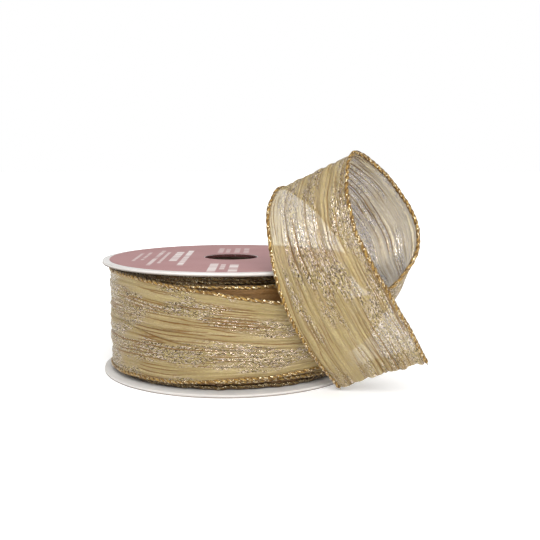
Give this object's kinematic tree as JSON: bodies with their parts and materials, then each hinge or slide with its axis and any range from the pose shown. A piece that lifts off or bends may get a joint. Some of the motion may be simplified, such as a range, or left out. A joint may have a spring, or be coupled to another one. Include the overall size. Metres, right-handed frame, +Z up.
{
  "type": "ribbon spool",
  "caption": "Paperboard spool of sheer wired-edge gift ribbon, lying on one flange, its free end looped up, over and down beside it.",
  "frame": {"origin": "on the resting plane, below the middle of the whole object's box, spool and free ribbon", "axes": "+Z up along the spool's axis, which stands 8.75 mm towards -X and 12.2 mm towards +Y from the origin; -Y towards the side where the free ribbon comes down; +X towards the side where it leaves the spool"},
  "size_m": [0.1174, 0.1243, 0.0842],
  "materials": {
    "spool_board": "matte",
    "label_paper": "satin",
    "core_board": "matte",
    "hot_glue": "gloss",
    "clear_tape": "gloss",
    "ribbon_cloth": "satin",
    "edge_thread": "satin",
    "edge_wire": "satin"
  },
  "bodies": {
    "spool": {"bottom_flange": "spool_board", "top_flange": "spool_board", "top_label": "label_paper", "core_tube": "core_board", "lower_glue_ring": "hot_glue", "upper_glue_ring": "hot_glue", "start_tape": "clear_tape", "wound_cloth": "ribbon_cloth", "wound_lower_edge": "edge_thread", "wound_upper_edge": "edge_thread"},
    "outer_turn": {"outer_turn_cloth": "ribbon_cloth", "outer_turn_upper_edge": "edge_thread", "outer_turn_upper_wire": "edge_wire", "outer_turn_lower_edge": "edge_thread", "outer_turn_lower_wire": "edge_wire"},
    "exit_ribbon": {"exit_cloth": "ribbon_cloth", "fold_cloth": "ribbon_cloth", "exit_upper_edge": "edge_thread", "exit_upper_wire": "edge_wire", "exit_lower_edge": "edge_thread", "exit_lower_wire": "edge_wire"},
    "loop": {"back_cloth": "ribbon_cloth", "rise_cloth": "ribbon_cloth", "crest_cloth": "ribbon_cloth", "front_cloth": "ribbon_cloth", "end_cloth": "ribbon_cloth", "loop_upper_edge": "edge_thread", "loop_upper_wire": "edge_wire", "loop_lower_edge": "edge_thread", "loop_lower_wire": "edge_wire"}
  },
  "joints": [
    {"name": "unwind", "type": "hinge", "parent": "spool", "child": "outer_turn", "pos_m": [-0.00875, 0.0122, 0.02], "axis": [0, 0, 1], "continuous": true},
    {"name": "peel", "type": "hinge", "parent": "outer_turn", "child": "exit_ribbon", "pos_m": [0.0115, -0.0334, 0.02], "axis": [0, 0, -1], "range_deg": [0, 12]},
    {"name": "loop_flex", "type": "hinge", "parent": "exit_ribbon", "child": "loop", "pos_m": [0.04775, -0.02955, 0.0385], "axis": [0, 0.9798, -0.2], "range_deg": [0, 6]}
  ]
}
